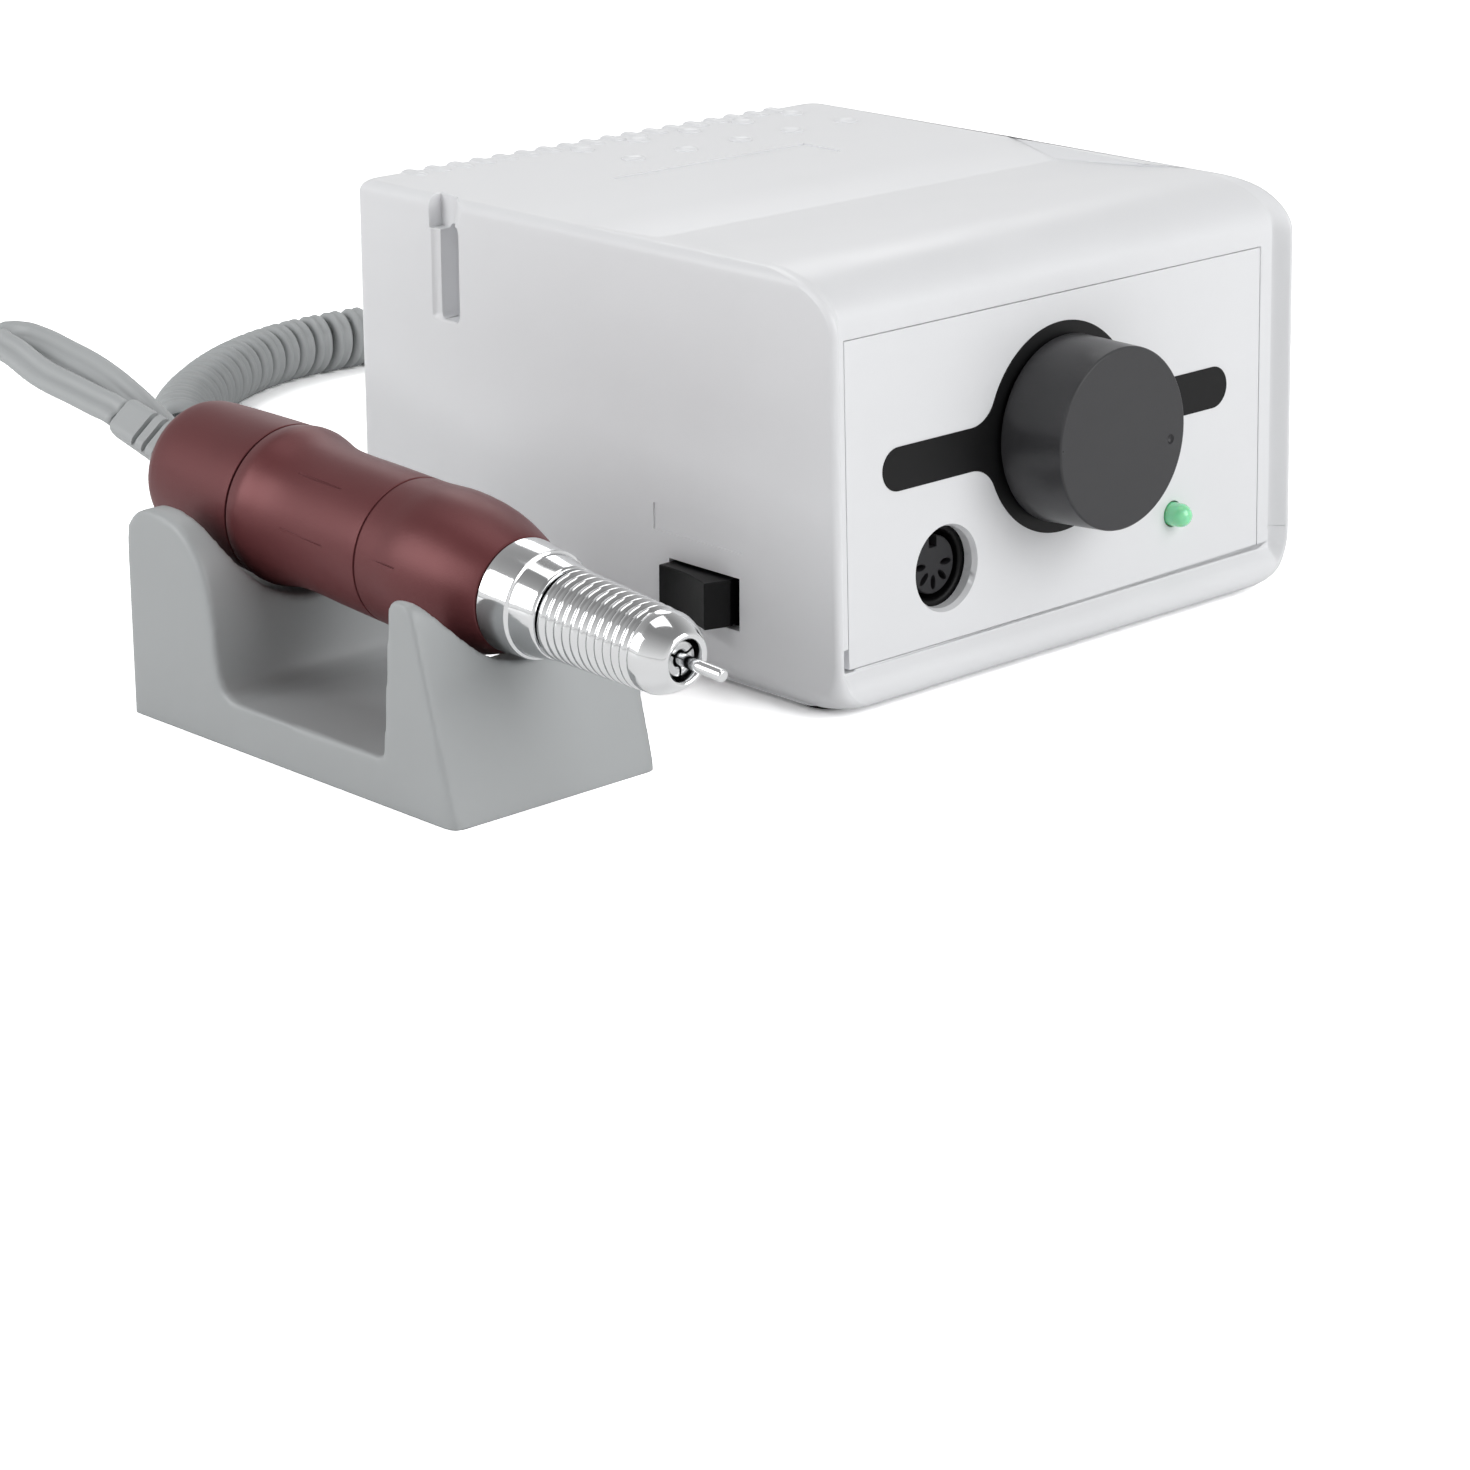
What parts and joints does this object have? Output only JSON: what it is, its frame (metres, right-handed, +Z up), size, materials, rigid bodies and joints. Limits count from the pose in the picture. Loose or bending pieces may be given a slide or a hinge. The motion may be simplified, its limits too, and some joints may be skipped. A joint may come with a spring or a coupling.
{
  "type": "electric nail drill",
  "caption": "Electric nail drill: a mains control box with a speed knob, and a micro-motor handpiece with a twist chuck that lies in its own cradle, on a curly cord.",
  "frame": {"origin": "on the table, in the middle of everything but the cord", "axes": "+Z up, the control panel faces -Y, the cradle stands on the -X side of the box"},
  "size_m": [0.2583, 0.3434, 0.0872],
  "materials": {
    "housing": "light grey-white moulded plastic, soft gloss",
    "feet": "black rubber",
    "steel": "plain machined steel",
    "brass": "plain brass",
    "legend": "near-black satin plate",
    "knob": "dark grey satin plastic",
    "black_plastic": "black plastic",
    "lamp": "clear green lens",
    "fuse_glass": "clear glass",
    "iron": "varnished laminations and ferrite",
    "winding": "lacquered copper wire",
    "board": "green laminate",
    "heat_sink": "plain aluminium",
    "cradle": "mid-grey satin plastic",
    "sleeve": "satin red-brown lacquer",
    "polished": "polished bright metal",
    "carbon": "carbon",
    "cord": "mid-grey flexible cord"
  },
  "bodies": {
    "body": {"top_cover": "housing", "base_plate": "housing", "foot_1": "feet", "foot_2": "feet", "foot_3": "feet", "foot_4": "feet", "base_screw_1": "steel", "base_screw_2": "steel", "base_screw_3": "steel", "base_screw_4": "steel", "front_panel": "housing", "legend_plate": "legend", "speed_pot": "steel", "pot_nut": "brass", "din_socket_shell": "black_plastic", "din_socket_insert": "black_plastic", "led_lens": "lamp", "led_holder": "black_plastic", "switch_body": "black_plastic", "mains_inlet": "black_plastic", "inlet_pin_line": "brass", "inlet_pin_earth": "brass", "inlet_pin_neutral": "brass", "fuse_holder": "black_plastic", "fuse": "fuse_glass", "transformer_core": "iron", "transformer_winding": "winding", "circuit_board": "board", "heat_sink": "heat_sink", "power_transistor": "black_plastic", "bridge_rectifier": "black_plastic", "filter_capacitor": "black_plastic", "cradle": "cradle", "rear_cap": "sleeve", "motor_sleeve": "sleeve", "front_sleeve": "sleeve", "nose_ring": "polished", "motor_can": "steel", "magnet_ring": "iron", "rear_bearing": "steel", "front_bearing": "steel", "brush_1": "carbon", "brush_2": "carbon", "strain_relief": "cord", "handpiece_lead": "cord", "curly_cord": "cord", "plug_lead": "cord", "din_plug_grip": "cord", "din_plug_shield": "polished", "din_plug_insert": "steel"},
    "speed_control": {"speed_knob": "knob", "pot_shaft": "steel"},
    "power_switch": {"power_rocker": "black_plastic"},
    "fuse_carrier": {"fuse_cap": "black_plastic"},
    "chuck": {"chuck_sleeve": "polished"},
    "drive": {"spindle": "steel", "collet": "steel", "test_shank": "polished", "rotor": "iron", "commutator": "brass"}
  },
  "joints": [
    {"name": "speed_turn", "type": "hinge", "parent": "body", "child": "speed_control", "pos_m": [0.0446, -0.05436, 0.04727], "axis": [0, -0.9995, 0.0332], "range_deg": [-50, 250]},
    {"name": "power_rock", "type": "hinge", "parent": "body", "child": "power_switch", "pos_m": [-0.0162, -0.02068, 0.0188], "axis": [0, 0, 1], "range_deg": [0, 19]},
    {"name": "fuse_cap_turn", "type": "hinge", "parent": "body", "child": "fuse_carrier", "pos_m": [0.0278, 0.08767, 0.026], "axis": [0, 1, 0], "range_deg": [0, 90]},
    {"name": "chuck_twist", "type": "hinge", "parent": "body", "child": "chuck", "pos_m": [-0.0879, -0.04198, 0.0373], "axis": [0, -0.9985, -0.0541], "range_deg": [0, 80]},
    {"name": "spindle_spin", "type": "hinge", "parent": "body", "child": "drive", "pos_m": [-0.0879, -0.04198, 0.0373], "axis": [0, -0.9985, -0.0541], "continuous": true}
  ]
}
